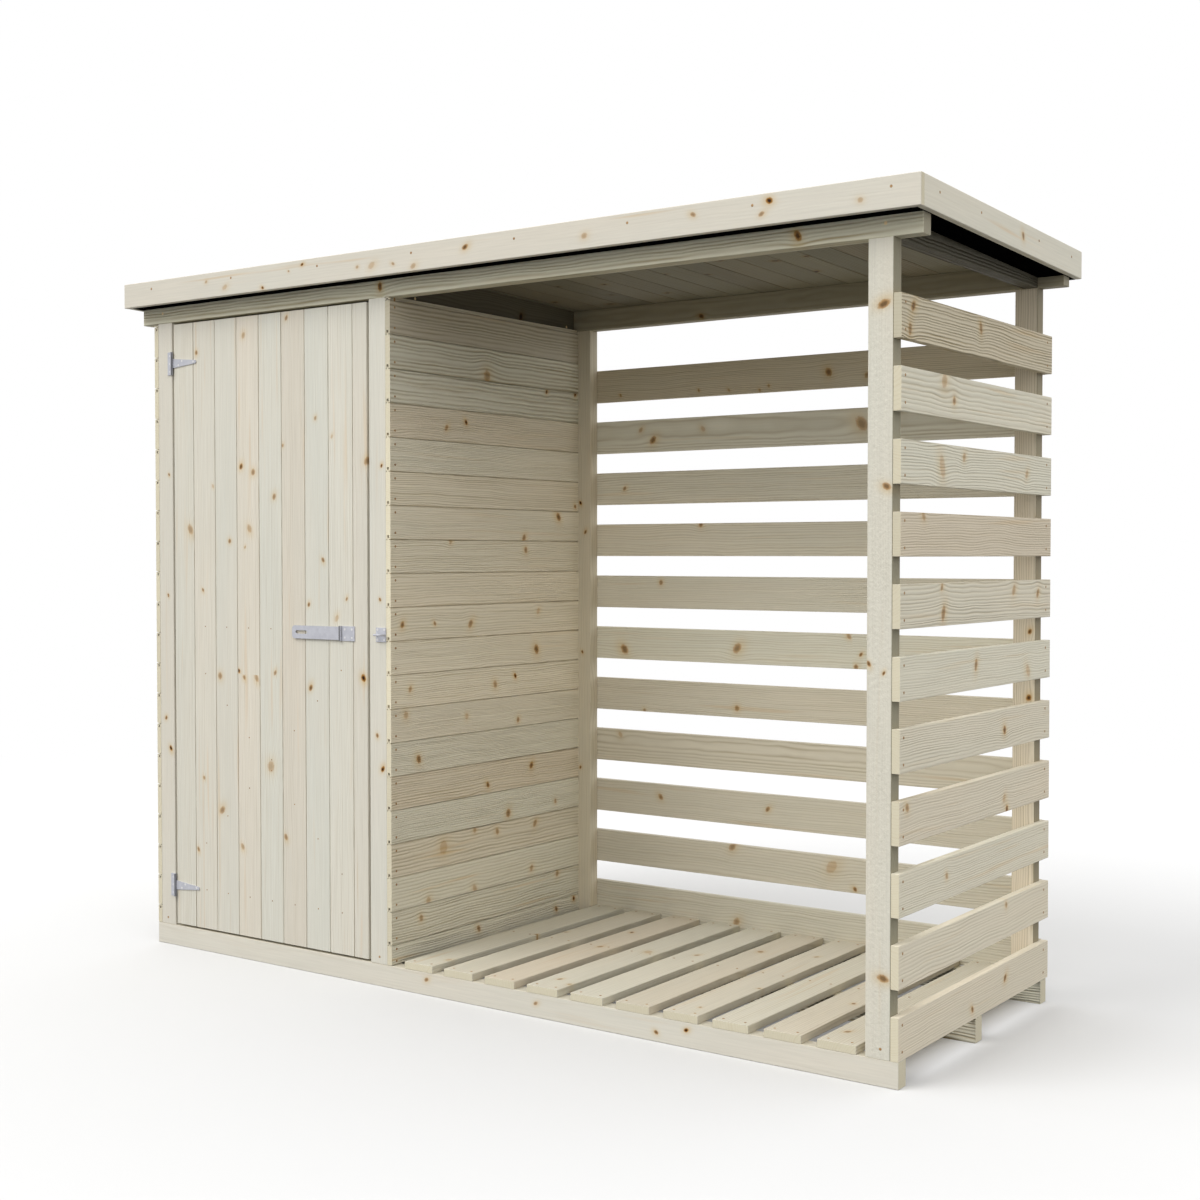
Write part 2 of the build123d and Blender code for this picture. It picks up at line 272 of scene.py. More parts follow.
def woodFinish(name, endGrain=False):
    look = woodLook
    f = newFinish(name)
    u, v, w = f.attribute("grain")
    heartV, heartW, spacing = f.attribute("heart")
    tint, light, seed = f.attribute("tone")
    shift, rise, core, dark, glow = knotFields(f, u, v)

    def grainNoise(kind, start=None, layer=seed, detail=1.0):
        along, across = grainScale[kind]
        first = u * along if start is None else u * along + start
        return f.noise(first, v * across, w * across + layer, detail)

    def broadNoise(kind, layer):  # the same through the thickness
        along, across = grainScale[kind]
        return f.noise(u * along + seed, v * across, layer)

    wander = grainNoise("wander", seed) * look["wander"]
    ripple = grainNoise("ripple") * look["ripple"]
    ringV = v - heartV - shift * look["knotBend"] + wander
    ringW = w - heartW + wander * look["wanderDepth"]
    ring = ((ringV * ringV + ringW * ringW) ** 0.5 + ripple + rise * look["knotSwell"]) / spacing
    driftScale, drifted = look["ringDrift"]
    ring = ring + f.noise(ring * driftScale + seed, seed, 1.5) * drifted
    phase = ring % 1.0
    (fromRing, fromPlace), (bandSwing, bandMiddle) = look["bandScale"], look["bandLevels"]
    band = f.noise((ring - phase) * fromRing + seed, u * fromPlace, 0.5) * bandSwing + bandMiddle
    late = f.ramp(phase, look["lateStops"]) * band
    if endGrain:
        pores = f.noise(v * look["poreScale"], w * look["poreScale"], seed, 2.0)
        colour = f.blend(late * look["endLateShare"], look["end"], look["endLate"])
        colour = f.blend(f.smooth(pores, *look["poreEdge"]) * look["poreShare"], colour, look["endPore"])
        colour = f.shade(colour, light + pores * look["poreLight"])
        height = pores * look["endRise"][0] + late * look["endRise"][1]
        rough = look["endRoughness"]
    else:
        relief, contrast, warm = f.attribute("figure")
        peel, streak = f.attribute("face")[:2]
        early = f.ramp(phase, look["earlyStops"]) * band
        fibre = grainNoise("fibre", detail=3.0)
        mottle = grainNoise("mottle", detail=2.0)
        pocket = f.smooth(grainNoise("pocket", layer=seed * 3), *look["pocketEdge"])
        cloud = broadNoise("cloud", seed)
        drift = broadNoise("drift", seed * 2)
        tint = tint + drift * look["driftTint"] + cloud * look["cloudTint"]
        # earlywood lines lighter: partly real grain, partly a painted highlight on the raised rings
        level = early * contrast * look["earlyLight"] + fibre * look["fibreLight"]
        level = level + cloud * look["cloudLight"] + 1
        colour = f.blend(tint, look["green"], look["pink"])
        colour = f.blend(late * contrast, colour, look["late"])
        colour = f.blend(pocket * streak, colour, look["resin"])
        colour = f.shade(colour, level)
        colour = f.blend(glow * look["glow"], colour, look["knotGlow"])
        colour = f.blend(core, colour, look["tanKnot"])
        colour = f.blend(dark, colour, look["darkKnot"])
        # light: a board's random tone times painted light or shade set per board and per side
        colour = f.shade(colour, light)
        # painted shade: warm boards and darkened sides are multiplied towards the shaded tint
        colour = f.blend(warm, colour, f.blend(1.0, colour, look["shaded"], "MULTIPLY"))
        rings = (early * look["earlyRise"] - late * look["lateDip"]) * relief
        height = rings + fibre * look["fibreRise"] + mottle * peel - core * look["knotDip"]
        polish = f.smooth(core, 0.0, 1.0) * look["knotPolish"]
        rough = polish + fibre * look["fibreRough"] + look["roughness"]
    return f.coat({
        "Base Color": colour,
        "Roughness": rough,
        "Normal": f.bump(height, look["bump"]),
        "Specular IOR Level": look["gloss"],
    })


timberFinishes = woodFinish("sawn_timber"), woodFinish("end_grain", True)
print("timber finishes:", len(timberFinishes))


# Hardware, felt and nail finishes

zincLook = {
    "sheet": paint(196, 197, 204), "shadow": paint(184, 185, 193), "knuckle": paint(104, 105, 109),
    "bloomScale": 90, "bloomEdge": (-0.2, 0.25), "gritScale": 900, "grit": 0.25, "bump": 0.2 * mm,
    "metallic": 0.15, "roughness": 0.5, "bloomRough": 0.2,
    "knuckles": ((-838.4 * mm, 0.8 * mm), (-334 * mm, 1.6 * mm)),  # along x: middle and half width
    "knuckleFade": 0.5 * mm,
}


def zincFinish():
    look = zincLook
    f = newFinish("zinc_plate")
    place = f.objectPlace()
    bloom = f.speckle(place, look["bloomScale"], 3.0)
    grit = f.speckle(place, look["gritScale"], 2.0)
    plate = f.blend(f.smooth(bloom, *look["bloomEdge"]), look["sheet"], look["shadow"])
    knuckleBand = 0
    for middle, half in look["knuckles"]:  # darker in a narrow band along x at each knuckle
        away = f.add("ShaderNodeMath", {"operation": "ABSOLUTE"}, {0: place[0] - middle})
        knuckleBand = knuckleBand + (1 - f.smooth(away, half, half + look["knuckleFade"]))
    return f.coat({
        "Base Color": f.blend(knuckleBand, plate, look["knuckle"]),
        "Metallic": look["metallic"],
        "Roughness": bloom * look["bloomRough"] + look["roughness"],
        "Normal": f.bump(grit * look["grit"], look["bump"]),
    })


feltLook = {
    "bitumen": paint(26, 26, 27), "grit": paint(62, 62, 64), "under": paint(8, 8, 8),
    "grainScale": 620, "grainEdge": (-0.05, 0.28), "grainRise": 0.8, "grainRough": 0.1,
    "driftScale": 9, "driftLight": 0.3, "driftRise": 0.6, "topEdge": (-0.1, 0.3), "bump": 1.2 * mm,
    "roughness": 0.95,
}


def feltFinish():
    look = feltLook
    f = newFinish("mineral_felt")
    place = f.objectPlace()
    grains = f.speckle(place, look["grainScale"], 2.0)
    drift = f.speckle(place, look["driftScale"], 2.0)
    facing = f.split(f.add("ShaderNodeNewGeometry", {}, {}, "Normal"))[2]
    mineral = f.blend(f.smooth(grains, *look["grainEdge"]), look["bitumen"], look["grit"])
    mineral = f.shade(mineral, drift * look["driftLight"] + 1)  # mineral on top; downward and side faces take the near black under colour
    return f.coat({
        "Base Color": f.blend(f.smooth(facing, *look["topEdge"]), look["under"], mineral),
        "Roughness": grains * look["grainRough"] + look["roughness"],
        "Normal": f.bump(grains * look["grainRise"] + drift * look["driftRise"], look["bump"]),
        "Specular IOR Level": 0.0,
    })


headProfile = [(0.8, -2.0), (1.0, -0.2), (1.0, 0.4), (0.7, 0.85), (0.3, 1.0)]  # shares of radius and rise
nailLook = {"head": paint(184, 150, 106), "rust": paint(146, 110, 70), "rustScale": 210,
            "rustEdge": (-0.15, 0.2), "rustRough": 0.2, "roughness": 0.6, "gloss": 0.2,
            "radius": 2.5 * mm, "rise": 0.35 * mm, "sides": 10}
screwLook = {"head": paint(220, 219, 219), "roughness": 0.42, "metallic": 0.15, "radius": 2.6 * mm,
             "rise": 0.3 * mm, "sides": 14}
plugLook = {"cap": paint(236, 212, 160), "roughness": 0.5, "radius": 3 * mm, "rise": 0.6 * mm, "sides": 12}


def nailFinish():
    look = nailLook
    f = newFinish("nail_heads")
    rust = f.speckle(f.objectPlace(), look["rustScale"], 3.0)
    return f.coat({
        "Base Color": f.blend(f.smooth(rust, *look["rustEdge"]), look["head"], look["rust"]),
        "Roughness": rust * look["rustRough"] + look["roughness"],
        "Specular IOR Level": look["gloss"],
    })


def screwFinish():
    look = screwLook
    values = {"Base Color": look["head"], "Roughness": look["roughness"], "Metallic": look["metallic"]}
    return newFinish("screw_heads").coat(values)


def plugFinish():
    return newFinish("cream_plugs").coat({"Base Color": plugLook["cap"], "Roughness": plugLook["roughness"]})


zinc, felt, nailSteel = zincFinish(), feltFinish(), nailFinish()
print("hardware finishes ready")


# Timber pieces: every board is its own closed mesh with its own grain

noKnot = (-9.0, -9.0, 1 * mm, 0.0, 1.0, 0.0)  # far off the board
cornerLayers = ("grain", "heart", "tone", "figure", "face", "knotA", "knotB", "knotC",
                "knotDark", "knotTall", "knotLean")


def addPiece(name, mesh, body, slot, *nodes):
    mesh.update()
    piece = bpy.data.objects.new(name, mesh)
    bpy.context.scene.collection.objects.link(piece)
    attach(piece, body)
    if nodes:
        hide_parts(*nodes)


def squareSection(width, thick, edge):  # eased on its four corners
    return [(edge, 0), (width - edge, 0), (width, edge), (width, thick - edge),
            (width - edge, thick), (edge, thick), (0, thick - edge), (0, edge)]


boardJoint = {"gap": 1.4 * mm, "vee": 0.6 * mm, "veeDepth": 2 * mm, "tongue": 4.2 * mm, "groove": 7.8 * mm,
              "shoulder": 4.4 * mm, "tongueThick": 4 * mm, "play": 0.6 * mm}


def jointedSection(width, thick, tongueHigh, grooved, tongued):  # tongue and groove, face at depth 0
    j = boardJoint
    low, high = j["gap"] / 2, width - j["gap"] / 2
    top, bottom = j["shoulder"], j["shoulder"] + j["tongueThick"]
    face = [(low + j["vee"], 0), (high - j["vee"], 0), (high, j["veeDepth"])]
    tongueSide = [(0, top), (j["tongue"], top + j["play"]), (j["tongue"], bottom - j["play"]), (0, bottom)]
    grooveSide = [(0, bottom + j["play"]), (j["groove"], bottom + j["play"]),
                  (j["groove"], top - j["play"]), (0, top - j["play"])]
    if tongueHigh:
        first = [(high + out, depth) for out, depth in tongueSide] if tongued else []
        second = [(low + out, depth) for out, depth in grooveSide] if grooved else []
    else:
        first = [(high - out, depth) for out, depth in reversed(grooveSide)] if grooved else []
        second = [(low - out, depth) for out, depth in reversed(tongueSide)] if tongued else []
    return face + first + [(high, thick), (low, thick)] + second + [(low, j["veeDepth"])]


cutLook = {  # where the pith lies, as shares of the width and in mm, and how boards differ
    "flatHeart": (0.2, 0.8), "flatDepth": (20, 45),
    "sideHeart": (-0.5, 1.5), "sideStray": (-25, 25), "sideDepth": (-30, 10),
    "spacing": (0.8, 1.25), "relief": (0.7, 1.3), "contrast": (0.6, 1.4), "seeds": (0, 40),
}


def boardCharacter(rng, look):  # how one board was cut, and its colour
    cut, width = cutLook, look["plank"]
    if rng.random() < look["flat"]:
        heart = (width * rng.uniform(*cut["flatHeart"]), -rng.uniform(*cut["flatDepth"]) * mm)
    else:
        side = width * rng.choice(cut["sideHeart"]) + rng.uniform(*cut["sideStray"]) * mm
        heart = (side, rng.uniform(*cut["sideDepth"]) * mm)
    spacing = look["spacing"] * rng.uniform(*cut["spacing"])
    tint = min(1, max(0, rng.gauss(look["tint"], look["tintSpread"])))
    light = rng.gauss(look["light"], look["lightSpread"])
    relief = look["relief"] * rng.uniform(*cut["relief"])
    contrast = look["contrast"] * rng.uniform(*cut["contrast"])
    return {"heart": (*heart, spacing), "tone": (tint, light, rng.uniform(*cut["seeds"])),
            "figure": (relief, contrast, look.get("warm", 0.0)), "face": (look["peel"], look["streak"], 0.0)}


knotSpread = {"along": (0.04, 0.96), "across": (0.08, 0.92), "radius": (3.0, 6.0), "grow": 1.25,
              "lean": 0.5, "leanTurns": (431, 77)}


def scatterKnots(rng, length, look):
    ranges = [knotSpread[name] for name in ("along", "across", "radius")]
    count = int(length * look["knotRate"] + rng.random())
    return [(*[rng.uniform(*span) for span in ranges], rng.random() ** 2) for _ in range(count)]


def settleKnots(knots, length, width, look):  # from shares of the board to metres, in order along it
    first, second = knotSpread["leanTurns"]
    settled = []
    for a, b, radius, dark, *tall in knots:
        lean = math.sin(a * first + b * second) * knotSpread["lean"]
        size = radius * knotSpread["grow"] * mm
        settled.append((a * length, b * width, size, dark, *(tall or [look.get("tall", 1.0)]), lean))
    return sorted(settled)


easedEnd = 0.7    # end bevel as a share of the eased edge
sideReach = 1.5   # eased edges that still count as the far side
sideWarmth = 1.5  # painted shade: how fast a side darkened by its share turns warmer


class Timber:  # boards collected into one piece
    def __init__(self, name, slot, look, seed):
        self.name, self.slot, self.look = name, slot, look
        self.rng = random.Random(seed)
        self.points, self.faces, self.isEnd = [], [], []
        self.layers = {layer: [] for layer in cornerLayers}

    def shell(self, spots, faces, place, character):  # spots in the board's own frame
        start = len(self.points)
        self.points += [place(*spot) for spot in spots]
        tint, light, seed = character["tone"]
        relief, contrast, warm = character["figure"]
        for corners, isEnd, group, share in faces:
            known = (group + [noKnot] * 3)[:3]
            # painted shade: a face's share darkens its light and warms it
            shaded = max(warm, min(1, sideWarmth - sideWarmth * share))
            marks = {**character, "tone": (tint, light * share, seed), "figure": (relief, contrast, shaded)}
            self.faces.append([start + c for c in corners])
            self.isEnd.append(isEnd)
            for c in corners:
                self.layers["grain"].append(spots[c])
                for layer, value in marks.items():
                    self.layers[layer].append(value)
                for letter, knot in zip("ABC", known):
                    self.layers["knot" + letter].append(knot[:3])
                self.layers["knotDark"].append([knot[3] for knot in known])
                self.layers["knotTall"].append([knot[4] for knot in known])
                self.layers["knotLean"].append([knot[5] for knot in known])

    def board(self, low, high, along, across, knots=None, section=None, faceHigh=False, bend=None, own=None):
        i, j = axisNames.index(along), axisNames.index(across)
        k = 3 - i - j
        look = {**self.look, **(own or {})}
        length, width, thick = high[i] - low[i], high[j] - low[j], high[k] - low[k]
        shape = section or squareSection(width, thick, look["edge"])
        if faceHigh:
            shape = [(v, thick - w) for v, w in reversed(shape)]
        character = boardCharacter(self.rng, look)
        scattered = scatterKnots(self.rng, length, look)
        spotted = settleKnots(scattered if knots is None else knots, length, width, look)
        groups = [spotted[n:n + 3] for n in range(0, len(spotted), 3)] or [[]]
        cuts = [(before[-1][0] + after[0][0]) / 2 for before, after in zip(groups, groups[1:])]
        inset = 0 if section else look["edge"] * easedEnd
        ends = [inset, length - inset] if inset else []
        stations = sorted([0.0, length] + ends + cuts)
        owners = [groups[sum(cut < (a + b) / 2 for cut in cuts)] for a, b in zip(stations, stations[1:])]

        def place(u, v, w):
            point = [0.0, 0.0, 0.0]
            point[i], point[j], point[k] = low[i] + u, low[j] + v, low[k] + w
            return bend(point) if bend else point

        spots = []
        for u in stations:
            tight = inset if u in (0.0, length) else 0
            spots += [(u, min(max(v, tight), width - tight) if tight else v,
                       min(max(w, tight), thick - tight) if tight else w) for v, w in shape]
        count, last = len(shape), len(stations) - 1
        faces = []
        for r in range(last):
            for s in range(count):
                t = (s + 1) % count
                corners = [r * count + s, r * count + t, (r + 1) * count + t, (r + 1) * count + s]
                # painted light and shade: the far eased side takes sideLight, the two ends take endLight
                atSide = not section and min(shape[s][0], shape[t][0]) > width - look["edge"] * sideReach
                faces.append((corners, False, owners[r], look.get("sideLight", 1.0) if atSide else 1.0))
        endLight = look.get("endLight", 1.0)
        faces.append((list(range(count))[::-1], True, owners[0], endLight))
        faces.append(([last * count + s for s in range(count)], True, owners[-1], endLight))
        if (i, j, k) in ((0, 2, 1), (1, 0, 2), (2, 1, 0)):
            faces = [(corners[::-1], *rest) for corners, *rest in faces]
        self.shell(spots, faces, place, character)

    def slab(self, outline, start, toward, back, thick):  # an outline in x and z, its grain along a line
        character = boardCharacter(self.rng, self.look)
        length = math.dist(start, toward)
        run = ((toward[0] - start[0]) / length, (toward[1] - start[1]) / length)
        shifts = [(x - start[0], z - start[1]) for x, z in outline]
        flat = [(x * run[0] + z * run[1], z * run[0] - x * run[1]) for x, z in shifts]
        spots = [(u, v, w) for w in (0.0, thick) for u, v in flat]
        count = len(flat)
        faces = [(list(range(count)), False, [], 1.0), (list(range(count, 2 * count))[::-1], False, [], 1.0)]
        for s in range(count):
            t = (s + 1) % count
            isEnd = abs(flat[s][1] - flat[t][1]) > 1 * mm
            faces.append(([t, s, s + count, t + count], isEnd, [], 1.0))

        def place(u, v, w):
            return (start[0] + u * run[0] - v * run[1], back - thick + w, start[1] + u * run[1] + v * run[0])

        self.shell(spots, faces, place, character)

    def build(self, body, *nodes):
        mesh = bpy.data.meshes.new(self.name)
        mesh.from_pydata(self.points, [], self.faces)
        for layer, rows in self.layers.items():
            store = mesh.attributes.new(layer, "FLOAT_VECTOR", "CORNER")
            store.data.foreach_set("vector", [number for row in rows for number in row])
        for finish in timberFinishes:
            mesh.materials.append(finish)
        mesh.polygons.foreach_set("material_index", [int(end) for end in self.isEnd])
        addPiece(self.name, mesh, body, self.slot, *nodes)


# Frame: bearers, posts, headers and rafters

roofFall = math.tan(math.radians(1.4))
frameLook = {"plank": 45 * mm, "flat": 0.3, "spacing": 4.2 * mm, "tint": 0.4, "tintSpread": 0.12,
             "light": 1.0, "lightSpread": 0.015, "relief": 0.12, "contrast": 0.07, "knotRate": 2.2,
             "edge": 1.0 * mm, "peel": 0.1, "streak": 0.14}


def straightTimber(node, slot, look, along, across, seed, body="store", knots=None, bend=None):
    timber = Timber(node + "_timber", slot, look, seed)
    low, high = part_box(node)
    timber.board(low, high, along, across, knots=knots, bend=bend)
    timber.build(body, node)


def cutToRoof(node):  # the top follows the fall of the roof
    low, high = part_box(node)
    middle = (low.z + high.z) / 2

    def bend(point):
        x, y, z = point
        return (x, y, z - (y - low.y) * roofFall) if z > middle else point

    return bend


frameKnots = {  # shares along and across, radius in mm, darkness, stretch across
    "front_bearer": [(0.44, 0.69, 4, 0.4), (0.59, 0.59, 3.5, 0.3), (0.74, 0.38, 3.5, 0.6),
                     (0.775, 0.69, 3.5, 1.0)],
    "front_left_post": [(0.75, 0.73, 2.5, 0.7), (0.55, 0.62, 2.5, 0.8), (0.345, 0.4, 3.5, 0.6),
                        (0.295, 0.74, 4.5, 1.0)],
    "door_post": [(0.75, 0.75, 3, 0.8), (0.55, 0.63, 2.5, 0.8), (0.345, 0.44, 3.5, 0.5),
                  (0.295, 0.77, 4.5, 1.0)],
    "front_right_post": [(0.92, 0.62, 5.5, 0.6, 1.9), (0.7, 0.76, 4.5, 0.5, 1.7), (0.484, 0.09, 3.5, 0.6),
                         (0.473, 0.68, 2.5, 0.6), (0.1, 0.7, 5, 0.5, 1.9)],
    "bay_back_post": [(0.656, 0.71, 3.5, 0.6), (0.706, 0.4, 3.5, 1.0), (0.45, 0.51, 3, 0.6),
                      (0.25, 0.39, 3, 0.5)],
    "back_right_post": [(0.41, 0.72, 5, 0.8), (0.506, 0.75, 4, 0.7)],
    "front_header": [(0.38, 0.36, 4.5, 0.7, 1.9), (0.88, 0.32, 5, 0.8, 1.7)],
    "back_header": [(0.57, 0.18, 5, 0.6)],
    "middle_rafter": [(0.673, 0.2, 4.5, 1.0, 1.8)],
    "right_rafter": [],
}
sawnFace = {"relief": 1.6, "contrast": 0.95, "spacing": 5.5 * mm, "tint": 0.1, "flat": 0}
# painted shade: lowBearer and the light, sideLight, endLight and warm values in frameOwn darken and warm the
# timbers and sides that stand in shade
lowBearer = {**sawnFace, "light": 0.82, "warm": 0.4, "endLight": 1.2}
planedPost = {"tint": 0.45, "light": 1.01, "peel": 0.35}
frameOwn = {
    "front_bearer": {"sideLight": 0.85, "tint": 0.45, "light": 1.04},
    "middle_bearer": lowBearer,
    "back_bearer": lowBearer,
    "front_left_post": planedPost,
    "door_post": planedPost,
    "front_right_post": {"sideLight": 0.45, "tint": 0.25, "light": 0.99, "peel": 1.1, "warm": 0.1},
    "back_right_post": {"sideLight": 0.45, "light": 0.98, "tint": 1.0, "warm": 0.3, "contrast": 0.5},
    "front_header": {**sawnFace, "warm": 0.6, "light": 0.95, "endLight": 0.55},
    "back_header": {"light": 0.54, "tint": 0.6, "warm": 0.8, "contrast": 0.4},
    "bay_back_post": {"light": 0.93, "warm": 0.45, "tint": 0.6, "contrast": 0.2},
    "middle_rafter": {"light": 0.16, "warm": 0.7, "contrast": 0.4},
    "right_rafter": {**sawnFace, "light": 0.11, "warm": 1.0},
}
bearers = ("front_bearer", "middle_bearer", "back_bearer")
posts = ("front_left_post", "door_post", "front_right_post", "back_left_post", "shed_back_post",
         "bay_back_post", "back_right_post")
headers = ("front_header", "back_header")
rafters = ("left_rafter", "middle_rafter", "right_rafter")


def frameTimber(node, along, across, seed, bend=None):
    look = {**frameLook, **frameOwn.get(node, {})}
    straightTimber(node, "frame_timber", look, along, across, seed, knots=frameKnots.get(node), bend=bend)


for seed, node in enumerate(bearers, 100):
    frameTimber(node, "x", "z", seed)
for seed, node in enumerate(posts, 110):
    frameTimber(node, "z", "x", seed)
for seed, node in enumerate(headers, 120):
    frameTimber(node, "x", "z", seed, cutToRoof(node))
for seed, node in enumerate(rafters, 130):
    frameTimber(node, "y", "z", seed, cutToRoof(node))
print("frame timbers:", len(bearers + posts + headers + rafters))


# Boarded walls, door boards and roof deck

wallLook = {"plank": 68 * mm, "flat": 0.5, "spacing": 6.0 * mm, "tint": 0.42, "tintSpread": 0.24,
            "light": 1.0, "lightSpread": 0.02, "relief": 0.7, "contrast": 0.24, "knotRate": 2.4,
            "edge": 0.6 * mm, "cover": 67.6 * mm, "narrowest": 1 * mm, "peel": 0.18, "streak": 0.16}


def jointLines(low, high, first, cover):
    lines, least = [first], wallLook["narrowest"]
    while lines[-1] + cover < high - least:
        lines.append(lines[-1] + cover)
    while lines[0] - cover > low + least:
        lines.insert(0, lines[0] - cover)
    return [low] + lines + [high]


def boardedPanel(node, slot, look, along, across, first, seed, body="store", faceHigh=False, tongueHigh=True,
                 bend=None, thick=None):
    timber = Timber(node + "_set", slot, look, seed)
    knots, owns = look.get("knots"), look.get("owns", {})
    low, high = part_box(node)
    if thick:
        high.z = low.z + thick
    i, j = axisNames.index(along), axisNames.index(across)
    depth = high[3 - i - j] - low[3 - i - j]
    lines = jointLines(low[j], high[j], first, look["cover"])
    last = len(lines) - 2
    for index, (start, end) in enumerate(zip(lines, lines[1:])):
        atLow, atHigh = index == 0, index == last
        grooved = not (atLow if tongueHigh else atHigh)
        tongued = not (atHigh if tongueHigh else atLow)
        boardLow, boardHigh = low.copy(), high.copy()
        boardLow[j], boardHigh[j] = start, end
        section = jointedSection(end - start, depth, tongueHigh, grooved, tongued)
        spots = knots.get(index, []) if knots else None
        timber.board(boardLow, boardHigh, along, across, spots, section, faceHigh, bend, owns.get(index))
    timber.build(body, node)


wallFirst = 1301.4 * mm  # height of one joint in the walls
doorFirst = -774.2 * mm  # place of the first joint in the door
doorLook = {**wallLook, "spacing": 3.1 * mm, "relief": 0.25, "contrast": 0.3, "flat": 0, "tintSpread": 0.02,
            "streak": 0.3}
doorLook["knots"] = {
    0: [(0.66, 0.81, 8, 0.2)],
    1: [(0.95, 0.15, 4, 0.4), (0.73, 0.9, 3, 0), (0.56, 0.4, 3, 0.4), (0.25, 0.4, 3.5, 0.2),
        (0.13, 0.11, 4, 0.35)],
    2: [(0.64, 0.66, 4, 0.4), (0.42, 0.18, 6, 0.25), (0.2, 0.25, 6, 0.3, 1.3)],
    3: [(0.97, 0.33, 5, 0.1), (0.76, 0.2, 5, 0.7), (0.75, 0.74, 5.5, 0.3), (0.66, 0.56, 6.5, 0.1),
        (0.63, 0.36, 2.5, 0.1), (0.43, 0.05, 3.5, 0.9), (0.42, 0.29, 4, 0.3), (0.42, 0.85, 6, 0.15),
        (0.145, 0.18, 5, 0.15)],
    4: [(0.71, 0.67, 5, 0.3), (0.43, 0.68, 4, 0.3), (0.28, 0.47, 9, 0.1)],
    5: [(0.99, 0.24, 4, 0.3), (0.79, 0.06, 3, 0.2), (0.17, 0.12, 5, 0.3)],
    6: [(0.83, 0.46, 3.5, 0.2), (0.61, 0.76, 4, 0.4), (0.54, 0.15, 3.5, 0.5), (0.41, 0.22, 5, 0.6)],
    7: [(0.8, 0.15, 3, 0), (0.55, 0.74, 3, 0.3), (0.52, 0.33, 5, 0)],
    8: [(0.76, 0.95, 6, 0.3), (0.43, 0.7, 6, 1.0)],
}
doorTints = (0.25, 0.3, 0.25, 0.55, 0.1, 0.6, 0.1, 0.25, 0.4)
doorLook["owns"] = {index: {"tint": tint, "light": 1.045} for index, tint in enumerate(doorTints)}
dividerLook = {**wallLook, "relief": 0.8, "contrast": 0.46, "spacing": 4.2 * mm, "warm": 0.3, "flat": 0,
               "tintSpread": 0.03, "tall": 1.5}
dividerLook["knots"] = {
    0: [(0.97, 0.81, 3.5, 0.95), (0.865, 0.49, 4, 0.5), (0.43, 0.64, 4.5, 0.4)],
    1: [(0.87, 0.89, 4.5, 0.2), (0.14, 0.61, 4.5, 0.2)],
    2: [(0.72, 0.29, 4.5, 0.15), (0.41, 0.1, 5, 0.05), (0.175, 0.08, 5, 0.05)],
    3: [(0.74, 0.74, 5, 0.25), (0.53, 0.74, 4.5, 0.2), (0.41, 0.93, 4, 0.1), (0.25, 0.6, 9, 0)],
    4: [(0.59, 0.25, 6, 0.4), (0.86, 0.33, 3.5, 0.15)],
    5: [(0.48, 0.28, 4, 0.6), (0.72, 0.67, 5, 0.65)],
    6: [(0.13, 0.42, 5.5, 0.5)],
    7: [(0.07, 0.79, 5, 0.05), (0.37, 0.54, 4, 0), (0.645, 0.22, 4, 0.3)],
    8: [(0.09, 0.55, 4, 0.2), (0.52, 0.44, 5, 0.2), (0.63, 0.65, 3.5, 0.95)],
    9: [(0.75, 0.46, 6.5, 0.55)],
    10: [(0.054, 0.48, 4.5, 0.5), (0.21, 0.47, 3, 0.3), (0.39, 0.41, 5.5, 0.3), (0.76, 0.71, 4, 0)],
    12: [(0.69, 0.71, 4.5, 0.3), (0.29, 0.96, 3.5, 0.1)],
    13: [(0.88, 0.81, 6, 0.6), (0.68, 0.1, 5, 0.35)],
    14: [(0.98, 0.18, 3, 0.5)],
    16: [(0.27, 0.43, 4, 0.3), (0.37, 0.65, 3.5, 0.95)],
    17: [(0.81, 0.92, 3, 0.9), (0.98, 0.94, 3, 0.9)],
    18: [(0.48, 0.17, 8, 0.2)],
}
dividerTints = (0.25, 0.3, 0.35, 0.65, 0.3, 0.95, 0.3, 0.6, 0.65, 0.65,
                0.65, 0.7, 0.6, 0.6, 0.6, 0.4, 0.8, 0.15, 0.15, 0.6)
# painted light and shade: the middle boards lighter, the top board darker under the roof
dividerLights = (1.02, 1.0, 1.0, 1.0, 1.0, 1.0, 1.05, 1.12, 1.18, 1.18,
                 1.18, 1.18, 1.17, 1.16, 1.14, 1.08, 1.04, 1.02, 0.98, 0.8)
dividerLook["owns"] = {index: {"tint": tint, "light": light}
                       for index, (tint, light) in enumerate(zip(dividerTints, dividerLights))}
for index in (0, 1, 2, 3, 19):
    dividerLook["owns"][index].update({"relief": 1.0, "contrast": 0.45, "spacing": 5.6 * mm, "streak": 0.5})
for index in (17, 18):
    dividerLook["owns"][index].update({"relief": 2.2, "contrast": 0.6, "spacing": 9 * mm})
# painted shade: the roof deck is dark and warm, standing in for the shade under the roof
deckLook = {**wallLook, "light": 0.38, "relief": 0.4, "contrast": 0.4, "warm": 0.65, "tall": 1.4, "flat": 0,
            "thick": 12 * mm}
deckLook["knots"] = {
    11: [(0.75, 0.31, 5, 0.9)],
    12: [(0.86, 0.7, 5, 0.9)],
    13: [(0.54, 0.08, 4, 0.9), (0.73, 0.7, 4, 0.9)],
    14: [(0.58, 0.54, 4, 0.9)],
    15: [(0.79, 0.42, 4, 0.9)],
    17: [(0.54, 0.03, 4, 0.9)],
    18: [(0.6, 0.12, 4, 0.9)],
    19: [(0.45, 0.53, 4, 0.9)],
    20: [(0.53, 0.83, 5, 0.8)],
    21: [(0.52, 0.88, 4, 0.7), (0.72, 0.07, 5, 0.9)],
}
deckLook["owns"] = {10 + step: {"light": 0.25 + 0.015 * step} for step in range(10)}  # painted shade: darker towards the divider


